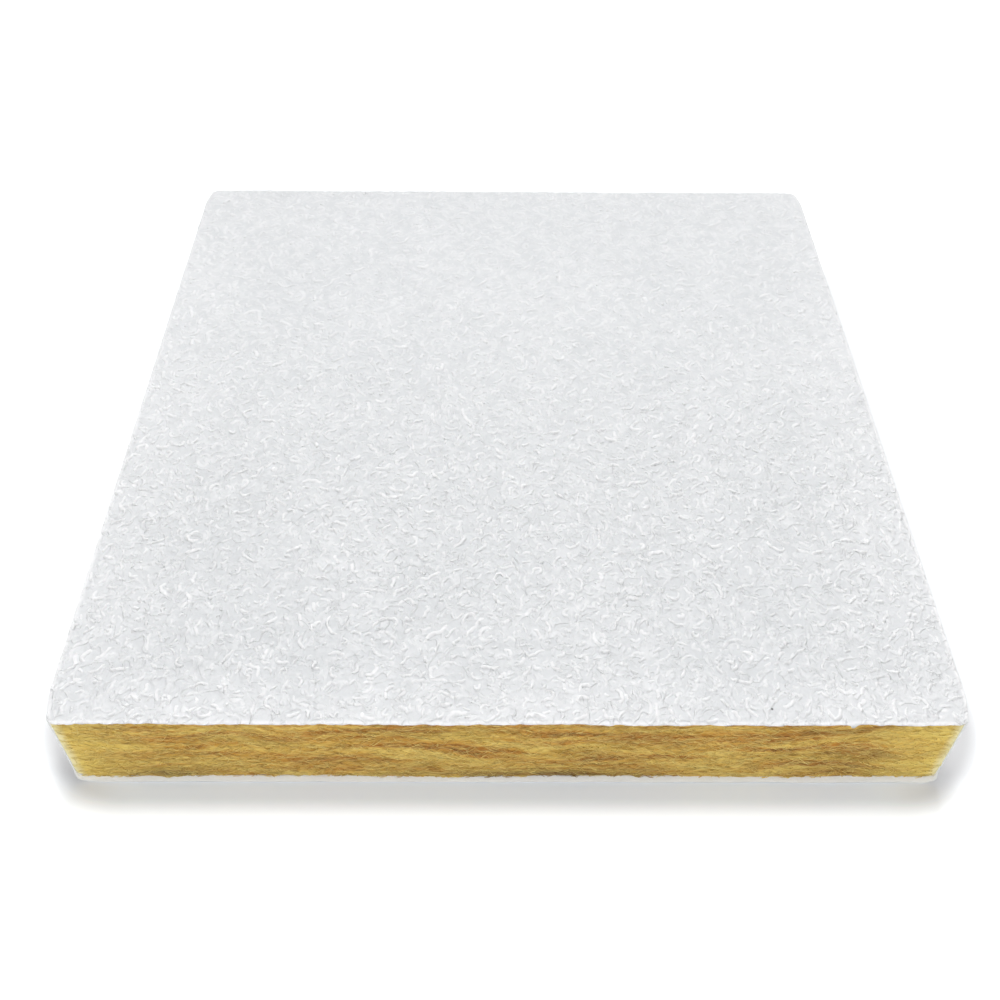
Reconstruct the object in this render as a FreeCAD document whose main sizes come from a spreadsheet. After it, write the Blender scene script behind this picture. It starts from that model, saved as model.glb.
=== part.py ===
import FreeCAD, Part
import math
import os
import Sketcher
from FreeCAD import Vector

# A lay-in ceiling tile of resin-bonded glass wool, lying on its back on the XY plane.
# X runs along the cut end that faces -Y, Y along the wrapped long sides, and Z up to the
# embossed face. The origin is the middle of the underside.

# Every size, in millimetres: name, value, what it is
SIZES = [
    ("tile_width", 300.0, "face film across X"),
    ("tile_length", 300.0, "face film along Y"),
    ("tile_height", 40.0, "underside of the tissue to the top of the face film"),
    ("film_thickness", 0.6, "embossed face film"),
    ("film_corner", 3.0, "plan radius of the face film's four corners"),
    ("tissue_thickness", 0.6, "backing tissue"),
    ("glue_line", 0.1, "clearance between the wool and each facing, filled by adhesive"),
    ("side_overhang", 1.6, "how far the face film passes the tissue at each long side"),
    ("end_setback", 2.0, "how far each cut end of the wool stands behind the film's end"),
    ("tissue_lip", 1.8, "how far the tissue passes each cut end of the wool"),
    ("edge_radius", 4.0, "rounding of the wool's two lower long edges"),
]

# Sizes that several pieces share, as expressions on the sheet
WRAP_HALF_WIDTH = "Sizes.tile_width / 2 - Sizes.side_overhang"
LINING_HALF_WIDTH = f"{WRAP_HALF_WIDTH} - Sizes.tissue_thickness"
WOOL_HALF_WIDTH = f"{LINING_HALF_WIDTH} - Sizes.glue_line"
LINING_RADIUS = "Sizes.edge_radius + Sizes.glue_line"
WRAP_RADIUS = f"{LINING_RADIUS} + Sizes.tissue_thickness"
FILM_SEAT = "Sizes.tile_height - Sizes.film_thickness"
WRAP_TOP = f"{FILM_SEAT} - Sizes.glue_line"

# Numbers by which a sketch's constraints name its origin
ORIGIN = (-1, 1)

doc = FreeCAD.newDocument("ceiling_tile")
sheet = doc.addObject("Spreadsheet::Sheet", "Sizes")
for row, (name, value, meaning) in enumerate(SIZES, start=1):
    sheet.set(f"A{row}", name)
    sheet.set(f"B{row}", str(value))
    sheet.set(f"C{row}", meaning)
    sheet.setAlias(f"B{row}", name)
doc.recompute()


def now(expression):
    """Present value of an expression, used where a sketch is first drawn."""
    return float(sheet.evalExpression(expression))


def new_sketch(body, role, name):
    """Empty sketch on one of the body's own origin planes."""
    sketch = body.newObject("Sketcher::SketchObject", name)
    plane = next(f for f in body.Origin.OriginFeatures if f.Role == role)
    sketch.AttachmentSupport = [(plane, "")]
    sketch.MapMode = "FlatFace"
    return sketch


def sketch_axis(letter):
    """Number by which a constraint names the sketch's own X or Y axis."""
    return -1 if letter == "X" else -2


def start_of(edge):
    """Numbers by which a constraint names the point where an edge starts."""
    return edge, 1


def end_of(edge):
    """Numbers by which a constraint names the point where an edge ends."""
    return edge, 2


def add_size(sketch, kind, where, name, expression):
    """Named sketch dimension that follows an expression on the sheet."""
    number = sketch.addConstraint(Sketcher.Constraint(kind, *where, now(expression)))
    sketch.renameConstraint(number, name)
    sketch.setExpression(f"Constraints.{name}", expression)


def quarter(centre_x, centre_y, radius, first_quadrant):
    """Quarter circle that starts at the given quadrant and runs anticlockwise."""
    circle = Part.Circle(Vector(centre_x, centre_y, 0), Vector(0, 0, 1), radius)
    start = first_quadrant * math.pi / 2
    return Part.ArcOfCircle(circle, start, start + math.pi / 2)


def draw_trough(sketch, half_width, radius, bottom, top):
    """Section with a flat top and two rounded lower corners, even about the upright axis.

    A bottom of None rests the section on the sketch's X axis.
    """
    w, r, high = (now(size) for size in (half_width, radius, top))
    low = now(bottom) if bottom else 0.0
    sketch.addGeometry(
        [
            Part.LineSegment(Vector(w, high, 0), Vector(-w, high, 0)),
            Part.LineSegment(Vector(-w, high, 0), Vector(-w, low + r, 0)),
            quarter(-w + r, low + r, r, 2),
            Part.LineSegment(Vector(-w + r, low, 0), Vector(w - r, low, 0)),
            quarter(w - r, low + r, r, 3),
            Part.LineSegment(Vector(w, low + r, 0), Vector(w, high, 0)),
        ],
        False,
    )
    top_line, left, left_bend, base, right_bend, right = range(6)
    for kind, *where in [
        ("Coincident", *end_of(top_line), *start_of(left)),
        ("Tangent", *end_of(left), *start_of(left_bend)),
        ("Tangent", *end_of(left_bend), *start_of(base)),
        ("Tangent", *end_of(base), *start_of(right_bend)),
        ("Tangent", *end_of(right_bend), *start_of(right)),
        ("Coincident", *end_of(right), *start_of(top_line)),
        ("Symmetric", *start_of(top_line), *end_of(top_line), sketch_axis("Y")),
        ("Vertical", left),
        ("Vertical", right),
        ("Horizontal", base),
        ("Equal", left_bend, right_bend),
    ]:
        sketch.addConstraint(Sketcher.Constraint(kind, *where))
    add_size(sketch, "DistanceX", (*ORIGIN, *start_of(top_line)), "half_width", half_width)
    add_size(sketch, "DistanceY", (*ORIGIN, *start_of(top_line)), "top", top)
    add_size(sketch, "Radius", (left_bend,), "bend", radius)
    if bottom:
        add_size(sketch, "DistanceY", (*ORIGIN, *start_of(base)), "bottom", bottom)
    else:
        on_floor = (*start_of(base), sketch_axis("X"))
        sketch.addConstraint(Sketcher.Constraint("PointOnObject", *on_floor))


def draw_plate(sketch, half_x, half_y, radius):
    """Rectangle with four rounded corners, even about both axes."""
    x, y, r = (now(size) for size in (half_x, half_y, radius))
    sketch.addGeometry(
        [
            Part.LineSegment(Vector(-x + r, -y, 0), Vector(x - r, -y, 0)),
            quarter(x - r, -y + r, r, 3),
            Part.LineSegment(Vector(x, -y + r, 0), Vector(x, y - r, 0)),
            quarter(x - r, y - r, r, 0),
            Part.LineSegment(Vector(x - r, y, 0), Vector(-x + r, y, 0)),
            quarter(-x + r, y - r, r, 1),
            Part.LineSegment(Vector(-x, y - r, 0), Vector(-x, -y + r, 0)),
            quarter(-x + r, -y + r, r, 2),
        ],
        False,
    )
    front, corner_1, right, corner_2, back, corner_3, left, corner_4 = range(8)
    for edge in range(8):
        joint = (*end_of(edge), *start_of((edge + 1) % 8))
        sketch.addConstraint(Sketcher.Constraint("Tangent", *joint))
    for kind, *where in [
        ("Symmetric", *start_of(front), *end_of(front), sketch_axis("Y")),
        ("Symmetric", *start_of(right), *end_of(right), sketch_axis("X")),
        ("Horizontal", back),
        ("Vertical", left),
        ("Equal", corner_1, corner_2),
        ("Equal", corner_1, corner_3),
        ("Equal", corner_1, corner_4),
    ]:
        sketch.addConstraint(Sketcher.Constraint(kind, *where))
    add_size(sketch, "DistanceX", (*ORIGIN, *end_of(right)), "half_x", half_x)
    add_size(sketch, "DistanceY", (*ORIGIN, *start_of(back)), "half_y", half_y)
    add_size(sketch, "Radius", (corner_1,), "corner", radius)


def add_pad(body, sketch, name, length, side):
    """Solid made by pushing the sketch out by a length, one way or evenly both ways."""
    pad = body.newObject("PartDesign::Pad", name)
    pad.Profile = sketch
    pad.SideType = side
    pad.setExpression("Length", length)
    doc.recompute()
    return pad


def make_wool_core():
    """Board of glass wool: a square block, sawn off at its two Y ends."""
    body = doc.addObject("PartDesign::Body", "WoolCore")
    body.Label = "wool_core"
    section = new_sketch(body, "XZ_Plane", "WoolSection")
    wool_bottom = "Sizes.tissue_thickness + Sizes.glue_line"
    draw_trough(section, WOOL_HALF_WIDTH, "Sizes.edge_radius", wool_bottom, WRAP_TOP)
    length = "Sizes.tile_length - 2 * Sizes.end_setback"
    add_pad(body, section, "WoolBoard", length, "Symmetric")
    return body


def make_back_tissue():
    """Backing sheet: under the wool, round its lower edges and up both long sides."""
    body = doc.addObject("PartDesign::Body", "BackTissue")
    body.Label = "back_tissue"
    outside = new_sketch(body, "XZ_Plane", "TissueOutside")
    draw_trough(outside, WRAP_HALF_WIDTH, WRAP_RADIUS, None, WRAP_TOP)
    length = "Sizes.tile_length - 2 * (Sizes.end_setback - Sizes.tissue_lip)"
    wrap = add_pad(body, outside, "TissueBlock", length, "Symmetric")
    full_volume = wrap.Shape.Volume

    lining = new_sketch(body, "XZ_Plane", "TissueLining")
    lining_top = f"{WRAP_TOP} + Sizes.film_thickness"
    draw_trough(lining, LINING_HALF_WIDTH, LINING_RADIUS, "Sizes.tissue_thickness", lining_top)
    hollow = body.newObject("PartDesign::Pocket", "TissueHollow")
    hollow.Profile = lining
    hollow.Type = "ThroughAll"
    hollow.SideType = "Symmetric"
    doc.recompute()
    if hollow.Shape.Volume > full_volume / 2:
        raise SystemExit("the tissue was not hollowed out")
    return body


def make_face_film():
    """Face film: one flat sheet with rounded corners, laid on the wool and the wrap."""
    body = doc.addObject("PartDesign::Body", "FaceFilm")
    body.Label = "face_film"
    outline = new_sketch(body, "XY_Plane", "FilmOutline")
    draw_plate(outline, "Sizes.tile_width / 2", "Sizes.tile_length / 2", "Sizes.film_corner")
    add_pad(body, outline, "FilmSheet", "Sizes.film_thickness", "One side")
    body.setExpression("Placement.Base.z", FILM_SEAT)
    return body


pieces = [make_wool_core(), make_back_tissue(), make_face_film()]
doc.recompute()

for thing in doc.Objects:
    if "Invalid" in thing.State or "Error" in thing.State:
        raise SystemExit(f"{thing.Name} failed: {thing.State}")
for piece in pieces:
    shape = piece.Shape
    if shape.isNull() or not shape.isValid() or len(shape.Solids) != 1:
        raise SystemExit(f"{piece.Label} is not one valid solid")

os.makedirs("parts", exist_ok=True)
for piece in pieces:
    box = piece.Shape.BoundBox
    piece.Shape.exportStep(f"parts/{piece.Label}.step")
    print(
        f"{piece.Label}: {box.XLength:.2f} x {box.YLength:.2f} x {box.ZLength:.2f} mm,"
        f" from z {box.ZMin:.2f}, {piece.Shape.Volume / 1000:.1f} cm3"
    )
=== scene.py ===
# %% [markdown]
# # A glass wool ceiling tile
# The frame holds three plain solids at their real size: the board of glass wool, the
# embossed face film and the backing tissue. Each one is replaced here by surfaces that
# numpy works out, with the relief that the real thing has, and each gets a finish made of
# shader nodes. Nothing is simulated: a ceiling tile is a stiff laminate, so its shapes are
# formulas.

# %% Load the frame
import math

import bpy
import numpy as np
from mathutils import Matrix, Vector


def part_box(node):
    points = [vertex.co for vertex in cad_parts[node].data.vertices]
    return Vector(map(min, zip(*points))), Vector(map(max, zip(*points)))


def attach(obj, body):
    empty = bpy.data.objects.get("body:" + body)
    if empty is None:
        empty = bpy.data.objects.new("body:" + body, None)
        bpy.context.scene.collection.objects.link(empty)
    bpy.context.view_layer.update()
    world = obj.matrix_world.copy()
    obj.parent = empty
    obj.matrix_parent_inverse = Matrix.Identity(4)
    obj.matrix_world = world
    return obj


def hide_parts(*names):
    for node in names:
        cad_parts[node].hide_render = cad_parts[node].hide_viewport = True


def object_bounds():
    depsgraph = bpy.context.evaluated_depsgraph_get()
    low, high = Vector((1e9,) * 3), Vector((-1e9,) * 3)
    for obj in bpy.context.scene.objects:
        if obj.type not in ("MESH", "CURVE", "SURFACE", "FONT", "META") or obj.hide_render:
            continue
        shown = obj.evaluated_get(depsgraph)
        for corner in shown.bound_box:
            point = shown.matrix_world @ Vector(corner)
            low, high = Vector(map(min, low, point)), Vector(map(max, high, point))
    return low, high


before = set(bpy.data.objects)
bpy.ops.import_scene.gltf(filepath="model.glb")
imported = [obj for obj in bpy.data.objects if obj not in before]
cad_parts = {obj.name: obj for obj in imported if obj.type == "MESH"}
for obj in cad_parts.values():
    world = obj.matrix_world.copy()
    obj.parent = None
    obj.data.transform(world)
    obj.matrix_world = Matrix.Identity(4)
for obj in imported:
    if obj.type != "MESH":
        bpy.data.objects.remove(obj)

MM = 0.001
cad_low, cad_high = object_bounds()
wool_low, wool_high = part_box("wool_core")
film_low, film_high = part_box("face_film")
tissue_low, tissue_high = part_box("back_tissue")
print("tile, mm:", [round(side / MM, 1) for side in cad_high - cad_low])

# %% [markdown]
# ## Camera
# A camera could be placed by eye, but a flat square shows every error in its four edges.
# So the place, the tilt and the focal length were solved from the edges of the tile, and
# are written here as plain sizes. The picture was cropped off centre, which is what the
# small vertical shift stands for.

# %% Camera
CAMERA_PLACE = Vector((-5.7, -330.6, 365.1)) * MM
CAMERA_TILT_DOWN = math.radians(44.72)
CAMERA_TURN = math.radians(-0.56)
CAMERA_ROLL = math.radians(0.62)
FOCAL_LENGTH = 40.19
VERTICAL_SHIFT = -0.1


def aim(tilt_down, turn, roll):
    """Rotation of a camera that looks along +Y, tilted down, turned left and rolled."""
    level = Matrix.Rotation(turn, 3, "Z") @ Matrix.Rotation(math.pi / 2 - tilt_down, 3, "X")
    return level @ Matrix.Rotation(roll, 3, "Z")


camera_data = bpy.data.cameras.new("camera")
camera_data.sensor_width = 36.0
camera_data.lens = FOCAL_LENGTH
camera_data.shift_y = VERTICAL_SHIFT
camera = bpy.data.objects.new("camera", camera_data)
camera.matrix_world = Matrix.LocRotScale(
    CAMERA_PLACE, aim(CAMERA_TILT_DOWN, CAMERA_TURN, CAMERA_ROLL), None
)
bpy.context.scene.collection.objects.link(camera)
bpy.context.scene.camera = camera
print("camera is", round(camera.location.length, 3), "m from the tile")

# %% [markdown]
# ## Helpers for meshes and nodes
# Every piece of this tile is either a sheet or a bundle of short rods. A sheet is two
# grids of points, its face and its back, closed by a rim. A rod is a row of rings, closed
# by a cap at each end. Both are filled as whole arrays.

# %% Mesh helpers
def add_piece(name, points, faces, marks=None, crease=None):
    """Smooth-shaded object from an (n, 3) array of points and a list of faces.

    marks holds one number for each point under each name, for the materials to read.
    Edges that turn by more than the crease, in degrees, are shaded sharp.
    """
    mesh = bpy.data.meshes.new(name)
    mesh.from_pydata(points.reshape(-1, 3), [], faces)
    mesh.polygons.foreach_set("use_smooth", np.ones(len(mesh.polygons), bool))
    for mark, values in (marks or {}).items():
        layer = mesh.attributes.new(mark, "FLOAT", "POINT")
        layer.data.foreach_set("value", np.ascontiguousarray(values, np.float32).ravel())
    mesh.update()
    if crease:
        mesh.set_sharp_from_angle(angle=math.radians(crease))
    piece = bpy.data.objects.new(name, mesh)
    bpy.context.scene.collection.objects.link(piece)
    triangles = sum(len(face) - 2 for face in faces)
    print(f"{name}: {triangles} triangles")
    return piece


def sheet_faces(rows, columns):
    """Faces of a closed sheet whose points are a face grid followed by a back grid.

    The face grid turns its front to (row direction) x (column direction).
    """
    number = np.arange(rows * columns).reshape(rows, columns)
    front = np.stack([number[:-1, :-1], number[1:, :-1], number[1:, 1:], number[:-1, 1:]], -1)
    rim = np.concatenate([number[:-1, 0], number[-1, :-1], number[:0:-1, -1], number[0, :0:-1]])
    onward = np.roll(rim, -1)
    behind = rows * columns
    side = np.stack([rim, rim + behind, onward + behind, onward], -1)
    back = front[..., ::-1] + behind
    return [*front.reshape(-1, 4).tolist(), *back.reshape(-1, 4).tolist(), *side.tolist()]


def rod_faces(rods, rings, sides):
    """Faces of many closed rods whose points are ordered rod, ring, side."""
    number = np.arange(rods * rings * sides).reshape(rods, rings, sides)
    ahead = np.roll(number, -1, axis=2)
    walls = np.stack([number[:, :-1], number[:, 1:], ahead[:, 1:], ahead[:, :-1]], -1)
    first, last = number[:, 0], number[:, -1, ::-1]
    return [*walls.reshape(-1, 4).tolist(), *first.tolist(), *last.tolist()]


def smooth_noise(u, v, seed):
    """Noise from 0 to 1: random values on the whole numbers of (u, v), blended between
    the four around a point with the weights 3t^2 - 2t^3."""
    table = np.random.default_rng(seed).random((256, 256))
    i, j = np.floor(u).astype(int), np.floor(v).astype(int)
    a, b = u - i, v - j
    a, b = a * a * (3 - 2 * a), b * b * (3 - 2 * b)
    i, j = i % 256, j % 256
    k, n = (i + 1) % 256, (j + 1) % 256
    low = table[i, j] * (1 - a) + table[k, j] * a
    high = table[i, n] * (1 - a) + table[k, n] * a
    return low * (1 - b) + high * b


def layered_noise(u, v, seed, octaves=4):
    """Sum of smooth noises, each twice as fine and half as strong as the last."""
    total = sum(smooth_noise(u * 2**n, v * 2**n, seed + n) / 2**n for n in range(octaves))
    return total / (2 - 2.0 ** (1 - octaves))


def ramp(values, start, end):
    """0 up to start, 1 from end on, and an S curve between them."""
    t = np.clip((values - start) / (end - start), 0, 1)
    return t * t * (3 - 2 * t)


# %% Node helpers
def put(tree, kind, **settings):
    """New node. A setting is one of its own properties, or else a number on an input."""
    node = tree.nodes.new(kind)
    for name, value in settings.items():
        if hasattr(node, name):
            setattr(node, name, value)
        else:
            node.inputs[name].default_value = value
    return node


def wire(tree, output, node, name):
    """Link from an output socket to a node's named or numbered input."""
    tree.links.new(output, node.inputs[name])


def calculate(tree, operation, first, second, clamp=False):
    """Output of a Math node on two values, each a socket or a plain number."""
    node = put(tree, "ShaderNodeMath", operation=operation, use_clamp=clamp)
    for place, value in enumerate((first, second)):
        if isinstance(value, (int, float)):
            node.inputs[place].default_value = value
        else:
            tree.links.new(value, node.inputs[place])
    return node.outputs["Value"]


def blend_colours(tree, share, first, second):
    """Output of a colour Mix node. share and colours are sockets or plain values."""
    node = put(tree, "ShaderNodeMix", data_type="RGBA")
    for name, value in (("Factor", share), ("A", first), ("B", second)):
        place = next(s for s in node.inputs if s.name == name and s.enabled)
        if isinstance(value, (int, float)):
            place.default_value = value
        elif isinstance(value, tuple):
            place.default_value = (*value, 1)
        else:
            tree.links.new(value, place)
    return next(s for s in node.outputs if s.enabled)


def mix_in(tree, colour, other, mask, share):
    """Colour with another mixed in by a share of the mask."""
    return blend_colours(tree, calculate(tree, "MULTIPLY", mask, share), colour, other)


def add_share(tree, tone, mask, share, clamp=True):
    """Tone plus a share of the mask."""
    return calculate(tree, "ADD", tone, calculate(tree, "MULTIPLY", mask, share), clamp=clamp)


def less_share(tree, mask, share):
    """1 less a share of the mask."""
    return calculate(tree, "SUBTRACT", 1.0, calculate(tree, "MULTIPLY", mask, share))


# %% Pattern helpers
def stretch(tree, source, per_metre, turn=0.0):
    """Coordinates scaled per metre along X, Y and Z, first turned about Y."""
    turned = put(tree, "ShaderNodeMapping", vector_type="POINT")
    turned.inputs["Rotation"].default_value = (0, turn, 0)
    tree.links.new(source, turned.inputs["Vector"])
    scaled = put(tree, "ShaderNodeVectorMath", operation="MULTIPLY")
    scaled.inputs[1].default_value = per_metre
    tree.links.new(turned.outputs["Vector"], scaled.inputs[0])
    return scaled.outputs["Vector"]


def noise(tree, vector, detail=3.0, roughness=0.55, distortion=0.0):
    """Value of a noise texture on coordinates that are already scaled."""
    node = put(tree, "ShaderNodeTexNoise", Scale=1.0, Detail=detail, Roughness=roughness)
    node.inputs["Distortion"].default_value = distortion
    wire(tree, vector, node, "Vector")
    return node.outputs["Fac"]


def spread(tree, value, low, high, soft=False):
    """Value rescaled so that low becomes 0 and high becomes 1, in an S curve if soft."""
    node = put(tree, "ShaderNodeMapRange", interpolation_type="SMOOTHSTEP" if soft else "LINEAR")
    wire(tree, value, node, "Value")
    node.inputs["From Min"].default_value = low
    node.inputs["From Max"].default_value = high
    return node.outputs["Result"]


# %% Finish helpers
def seen(red, green, blue):
    """Linear colour of an 8-bit screen colour."""
    channels = np.array([red, green, blue]) / 255
    linear = np.where(channels <= 0.04045, channels / 12.92, ((channels + 0.055) / 1.055) ** 2.4)
    return tuple(float(c) for c in linear)


def new_finish(name, roughness):
    """Material with an empty Principled shader of one roughness, its tree and its shader."""
    finish = bpy.data.materials.new(name)
    finish.use_nodes = True
    shader = finish.node_tree.nodes["Principled BSDF"]
    shader.inputs["Roughness"].default_value = roughness
    return finish, finish.node_tree, shader


def new_group(name, inputs, outputs):
    """Empty node group with named sockets, and its two end nodes."""
    group = bpy.data.node_groups.new(name, "ShaderNodeTree")
    for socket, kind in inputs:
        group.interface.new_socket(socket, in_out="INPUT", socket_type=kind)
    for socket, kind in outputs:
        group.interface.new_socket(socket, in_out="OUTPUT", socket_type=kind)
    return group, group.nodes.new("NodeGroupInput"), group.nodes.new("NodeGroupOutput")


def object_coordinates(tree):
    """Object coordinates, in metres."""
    return tree.nodes.new("ShaderNodeTexCoord").outputs["Object"]


def read_mark(tree, name):
    """One of the numbers that a piece carries on its points."""
    return put(tree, "ShaderNodeAttribute", attribute_name=name).outputs["Fac"]


def add_bump(tree, shader, height, depth, strength=1.0):
    """Bump whose full height stands for a depth in metres."""
    node = put(tree, "ShaderNodeBump", Strength=strength, Distance=depth)
    wire(tree, height, node, "Height")
    wire(tree, node.outputs["Normal"], shader, "Normal")


def tell(finish):
    """Prints how many nodes a finish has."""
    print(finish.name, "has", len(finish.node_tree.nodes), "nodes")


# %% [markdown]
# ## Face film
# The decorative face is a thin white plastic film that laps a little over the board on all
# sides. Its sawn front and back edges are slightly ragged, its corners are worn, its rim
# rolls down, and a small flake hangs from the front edge. A flat box with a bump map would
# show none of that, so the film is a fine grid that carries the soft part of the relief,
# with rounded corners and closely spaced lines along its edges. Its skin is thicker than
# its deepest dimple, or the underside would show through.

# %% Face film surface
FILM_SKIN = 0.34 * MM
FILM_CORNER = 3.0 * MM
CORNER_WEAR = 1.8 * MM
WEAR_REACH = 12 * MM
ROLL_WIDTH = 1.5 * MM
ROLL_DROP = 0.30 * MM
RAGGED = 1.1 * MM
FLATTER = 0.4
film_half = (film_high - film_low) / 2
sheet_low = film_low.z
sheet_top = sheet_low + FILM_SKIN


def grid_lines(half, edge_steps, inner_count):
    """Positions from -half to half: given distances from each edge, then even steps."""
    edge = np.array(edge_steps)
    inner = np.linspace(edge[-1] - half, half - edge[-1], inner_count)
    return np.concatenate([edge[:-1] - half, inner, half - edge[-2::-1]])


def sheet_wave(x, y):
    """Unevenness of the film, in metres: noises 28 mm, 6 mm and 3 mm wide."""
    wide = smooth_noise(x / (28 * MM), y / (28 * MM), 11) - 0.5
    dimple = smooth_noise(x / (6 * MM), y / (6 * MM), 15) - 0.5
    pebble = smooth_noise(x / (3.1 * MM), y / (3.1 * MM), 16) - 0.5
    return (0.05 * wide + (0.21 * dimple + 0.36 * pebble) * emboss_depth(y)) * MM


def ragged_edge(x, end):
    """How much of the ragged depth the cut has taken at x, from 0 to 1, on either end."""
    slow = smooth_noise(x / (16 * MM), end * 3.0 + 4, 21)
    quick = smooth_noise(x / (4.6 * MM), end * 3.0 + 4, 22)
    nick = smooth_noise(x / (1.9 * MM), end * 3.0 + 4, 23)
    return 0.35 * slow + 0.3 * quick + 0.35 * nick**2


def rounded_half(y, half_x, half_y, corner):
    """Half width of a rectangle with rounded, slightly worn corners, at each y."""
    past = np.clip(np.abs(y) - (half_y - corner), 0, corner)
    worn = CORNER_WEAR * ramp(np.abs(y), half_y - WEAR_REACH, half_y)
    return half_x - corner + np.sqrt(corner**2 - past**2) - worn


def edge_distance(x, y):
    """Distance in from the film's outline, roughly, in metres."""
    across = rounded_half(y, film_half.x, film_half.y, FILM_CORNER) - np.abs(x)
    return np.clip(np.minimum(across, film_half.y - np.abs(y)), 0, None)


def toward_back(y):
    """0 over the front quarter of the film, rising to 1 at its back tenth."""
    return ramp(y, -0.5 * film_half.y, 0.8 * film_half.y)


def emboss_depth(y):
    """Depth of the emboss: full near the front end, and flatter over the back."""
    return 1 - FLATTER * toward_back(y)


def rim_roll(x, y):
    """How far the film has rolled down: half a parabola over its last stretch."""
    inside = np.clip(edge_distance(x, y) / ROLL_WIDTH, 0, 1)
    return ROLL_DROP * (1 - inside) ** 2


def plate_faces(rows, columns):
    """Faces of a plate whose points are a grid, then a rim below it and a rim further in.

    The two lower rims follow the grid's own rim, anticlockwise seen from above.
    """
    number = np.arange(rows * columns).reshape(rows, columns)
    top = np.stack([number[:-1, :-1], number[1:, :-1], number[1:, 1:], number[:-1, 1:]], -1)
    rim = np.concatenate([number[:-1, 0], number[-1, :-1], number[:0:-1, -1], number[0, :0:-1]])
    lower = rows * columns + np.arange(len(rim))
    inner = lower + len(rim)
    faces = top.reshape(-1, 4).tolist()
    for above, below in ((rim, lower), (lower, inner)):
        ring = np.stack([above, below, np.roll(below, -1), np.roll(above, -1)], -1)
        faces += ring.tolist()
    return [*faces, inner[::-1].tolist()]


def rim_of(grid):
    """The rim points of a grid, in the order that plate_faces uses."""
    return np.concatenate([grid[:-1, 0], grid[-1, :-1], grid[:0:-1, -1], grid[0, :0:-1]])


# %% Face film mesh
FLAKE_X, FLAKE_WIDTH, FLAKE_DROP = 111.2 * MM, 0.8 * MM, 2.4 * MM
LOWER_RIM_INSET = 2.2 * MM
RIM_HIGHLIGHT_START, RIM_HIGHLIGHT_END = 0.2 * MM, 1.8 * MM

edge_steps = np.array([0, 0.15, 0.4, 0.8, 1.3, 2.0, 3.0]) * MM
film_x = grid_lines(film_half.x, edge_steps, 335)
film_y = grid_lines(film_half.y, edge_steps, 255)
along, back_to_front = film_x[:, None] / film_half.x, film_y[None, :]
sheet_x = along * rounded_half(back_to_front, film_half.x, film_half.y, FILM_CORNER)
near_end = ramp(np.abs(back_to_front), film_half.y - 4 * MM, film_half.y)
ragged = ragged_edge(sheet_x, np.sign(back_to_front))
sheet_y = back_to_front - np.sign(back_to_front) * near_end * ragged * RAGGED
roll = rim_roll(sheet_x, back_to_front)
face = np.stack([sheet_x, sheet_y, sheet_top + sheet_wave(sheet_x, sheet_y) - roll], -1)
rim = rim_of(face)
flake = FLAKE_DROP * np.exp(-(((rim[:, 0] - FLAKE_X) / FLAKE_WIDTH) ** 2)) * (rim[:, 1] < 0)
lower_rim = np.column_stack([rim[:, :2], sheet_low - ROLL_DROP - flake])
inner_rim = np.column_stack(
    [rim[:, :2] * (1 - LOWER_RIM_INSET / film_half.x), np.full(len(rim), sheet_low)]
)
# Painted highlight: the film is painted whiter over its last stretch to the cut rim, and its rim
# faces are painted white.
rim_highlight = 1 - ramp(edge_distance(sheet_x, back_to_front), RIM_HIGHLIGHT_START, RIM_HIGHLIGHT_END)
film_sheet = add_piece(
    "film_sheet",
    np.concatenate([face.reshape(-1, 3), lower_rim, inner_rim]),
    plate_faces(*sheet_x.shape),
    {"rim": np.concatenate([rim_highlight.ravel(), np.ones(2 * len(rim))])},
)

# %% [markdown]
# ## Embossed ridges
# The film is embossed with short, curved, worm-like ridges 1 to 2 mm wide that lie close
# together but never cross. A height field fine enough for them would need millions of
# faces, and a bump map alone is flat in profile. Instead each ridge is a small rod of its
# own that lies on the film. The rods follow the level lines of a field of crossing waves:
# such lines curve and turn like the real pattern, and two of them never cross. A few finer
# waves on top make them crooked. Towards the back the emboss gets flatter and broader.

# %% Field and paths
WAVE_LENGTH = 9.0 * MM
LONG_WAVES, FINE_WAVES = 40, 24
FINER, FINE_HEIGHT = 3.2, 0.24
wave_random = np.random.default_rng(5)
wave_heading = wave_random.uniform(0, 2 * math.pi, LONG_WAVES + FINE_WAVES)
wave_factor = wave_random.uniform(0.7, 1.3, LONG_WAVES + FINE_WAVES)
wave_factor[LONG_WAVES:] *= FINER
wave_height = np.where(np.arange(len(wave_factor)) < LONG_WAVES, 1.0, FINE_HEIGHT)
wave_phase = wave_random.uniform(0, 2 * math.pi, len(wave_factor))
wave_vector = np.stack([np.cos(wave_heading), np.sin(wave_heading)], -1)
wave_vector *= (2 * math.pi / WAVE_LENGTH * wave_factor)[:, None]


def level_direction(places):
    """Unit vectors across the slope of the sum of cosines at each (x, y)."""
    angle = places @ wave_vector.T + wave_phase
    slope = -(wave_height * np.sin(angle)) @ wave_vector
    ahead = np.stack([-slope[:, 1], slope[:, 0]], -1)
    return ahead / np.maximum(np.linalg.norm(ahead, axis=-1, keepdims=True), 1e-9)


def level_paths(starts, lengths, rings):
    """Points along the level lines through the starts, half of each length either way.

    A step goes in the direction found half a step ahead, which keeps it on the line.
    """
    stride = (lengths / (rings - 1))[:, None]
    sides = []
    for way in (-1.0, 1.0):
        places, line = starts, []
        for number in range(rings // 2):
            step = way * stride * (0.5 if number == 0 else 1.0)
            halfway = places + step / 2 * level_direction(places)
            places = places + step * level_direction(halfway)
            line.append(places)
        sides.append(line)
    return np.stack(sides[0][::-1] + sides[1], axis=1)


# %% Choice of paths
LEAST_COSINE = 0.45
EDGE_SPARE = 0.75 * MM


def gentle(paths):
    """Which paths never turn sharply from one step to the next."""
    step = np.diff(paths, axis=1)
    step = step / np.maximum(np.linalg.norm(step, axis=-1, keepdims=True), 1e-9)
    return ((step[:, :-1] * step[:, 1:]).sum(-1) > LEAST_COSINE).all(axis=1)


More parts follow.
